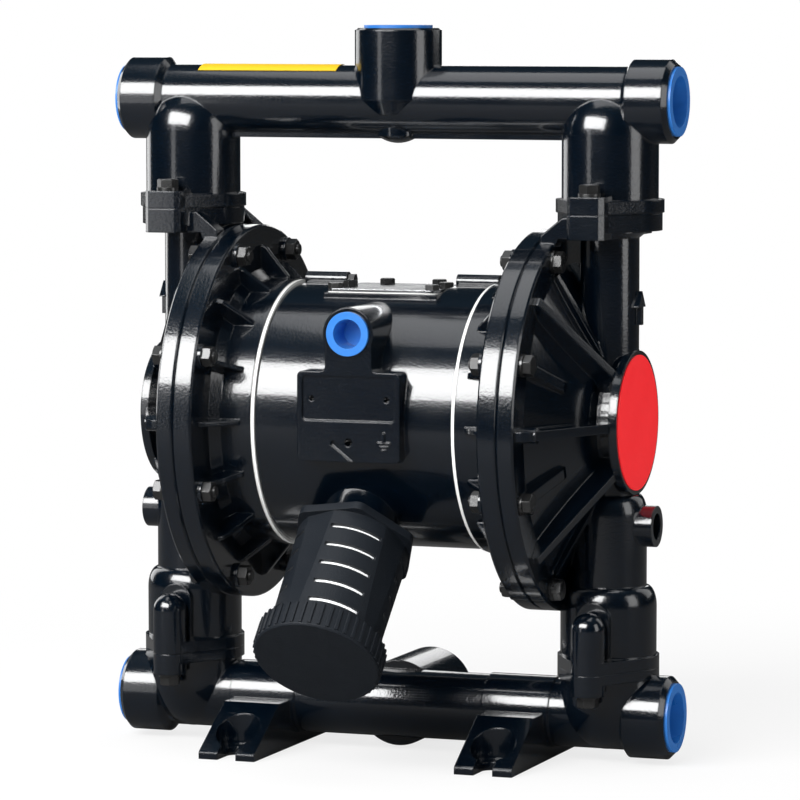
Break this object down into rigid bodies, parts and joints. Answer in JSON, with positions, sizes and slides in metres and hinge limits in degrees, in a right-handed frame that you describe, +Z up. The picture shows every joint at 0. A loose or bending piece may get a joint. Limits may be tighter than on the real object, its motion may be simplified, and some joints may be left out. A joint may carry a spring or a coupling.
{
  "type": "air operated diaphragm pump",
  "caption": "Air operated diaphragm pump in black cast metal, with capped side ports, ribbed round chamber covers, an exhaust muffler and slotted feet.",
  "frame": {"origin": "on the floor, in the middle of the rectangle of the feet's four bolt slots", "axes": "+X along the diaphragm shaft to the right, +Y to the back, away from the name pad and the muffler, +Z up"},
  "size_m": [0.3152, 0.2429, 0.3919],
  "materials": {
    "black_coat": "gloss black powder coat on cast aluminium",
    "zinc_steel": "zinc plated steel",
    "cover_plate": "bare aluminium",
    "bright_gasket": "pale gasket",
    "diaphragm_rubber": "black rubber",
    "seal_rubber": "seal rubber",
    "white_ptfe": "white fluoropolymer",
    "blue_plastic": "blue transport plug",
    "charcoal_plastic": "charcoal moulded plastic",
    "felt_white": "sintered silencer element",
    "bronze": "bush bronze",
    "dark_steel": "steel",
    "valve_plastic": "valve block",
    "red_label": "printed red label",
    "yellow_label": "printed yellow label"
  },
  "bodies": {
    "root": {"outlet_manifold": "black_coat", "inlet_manifold": "black_coat", "center_housing": "black_coat", "fluid_cover_left": "black_coat", "fluid_cover_right": "black_coat", "air_cover_left": "black_coat", "air_cover_right": "black_coat", "cover_bolts": "zinc_steel", "cover_washers": "zinc_steel", "cover_nuts": "zinc_steel", "outlet_joint_bolts": "zinc_steel", "inlet_joint_bolts": "zinc_steel", "joint_washers": "zinc_steel", "valve_cover_screws": "zinc_steel", "gallery_plug": "zinc_steel", "valve_cover": "cover_plate", "housing_gasket_left": "bright_gasket", "housing_gasket_right": "bright_gasket", "valve_gasket": "bright_gasket", "shaft_seal_left": "seal_rubber", "shaft_seal_right": "seal_rubber", "inlet_seat_seals": "seal_rubber", "outlet_seat_seals": "seal_rubber", "inlet_seat_left": "white_ptfe", "inlet_seat_right": "white_ptfe", "outlet_seat_left": "white_ptfe", "outlet_seat_right": "white_ptfe", "outlet_plug_left": "blue_plastic", "outlet_plug_right": "blue_plastic", "outlet_plug_top": "blue_plastic", "inlet_plug_left": "blue_plastic", "inlet_plug_right": "blue_plastic", "inlet_plug_rear": "blue_plastic", "air_inlet_plug": "blue_plastic", "muffler_body": "charcoal_plastic", "muffler_cap": "charcoal_plastic", "muffler_liner": "felt_white", "shaft_bush_left": "bronze", "shaft_bush_right": "bronze", "muffler_nipple": "dark_steel", "valve_body": "valve_plastic", "end_label_left": "red_label", "end_label_right": "red_label", "tube_label": "yellow_label"},
    "shaft": {"diaphragm_shaft": "dark_steel", "inner_plate_left": "dark_steel", "inner_plate_right": "dark_steel", "outer_plate_left": "dark_steel", "outer_plate_right": "dark_steel", "stud_nut_left": "dark_steel", "stud_nut_right": "dark_steel", "diaphragm_left": "diaphragm_rubber", "diaphragm_right": "diaphragm_rubber"},
    "spool": {"valve_spool": "dark_steel"},
    "pilot_pin_left": {"pilot_pin_left": "dark_steel"},
    "inlet_ball_left": {"inlet_ball_left": "white_ptfe"},
    "outlet_ball_left": {"outlet_ball_left": "white_ptfe"},
    "pilot_pin_right": {"pilot_pin_right": "dark_steel"},
    "inlet_ball_right": {"inlet_ball_right": "white_ptfe"},
    "outlet_ball_right": {"outlet_ball_right": "white_ptfe"}
  },
  "joints": [
    {"name": "shaft_slide", "type": "slide", "parent": "root", "child": "shaft", "axis": [1, 0, 0], "range_m": [-0.008, 0.008], "deforming": ["diaphragm_left", "diaphragm_right"]},
    {"name": "spool_slide", "type": "slide", "parent": "root", "child": "spool", "axis": [1, 0, 0], "range_m": [-0.006, 0.006]},
    {"name": "pilot_slide_left", "type": "slide", "parent": "root", "child": "pilot_pin_left", "axis": [1, 0, 0], "range_m": [0, 0.003]},
    {"name": "inlet_ball_left_lift", "type": "slide", "parent": "root", "child": "inlet_ball_left", "axis": [0, 0, 1], "range_m": [0, 0.008]},
    {"name": "outlet_ball_left_lift", "type": "slide", "parent": "root", "child": "outlet_ball_left", "axis": [0, 0, 1], "range_m": [0, 0.008]},
    {"name": "pilot_slide_right", "type": "slide", "parent": "root", "child": "pilot_pin_right", "axis": [1, 0, 0], "range_m": [-0.003, 0]},
    {"name": "inlet_ball_right_lift", "type": "slide", "parent": "root", "child": "inlet_ball_right", "axis": [0, 0, 1], "range_m": [0, 0.008]},
    {"name": "outlet_ball_right_lift", "type": "slide", "parent": "root", "child": "outlet_ball_right", "axis": [0, 0, 1], "range_m": [0, 0.008]}
  ]
}
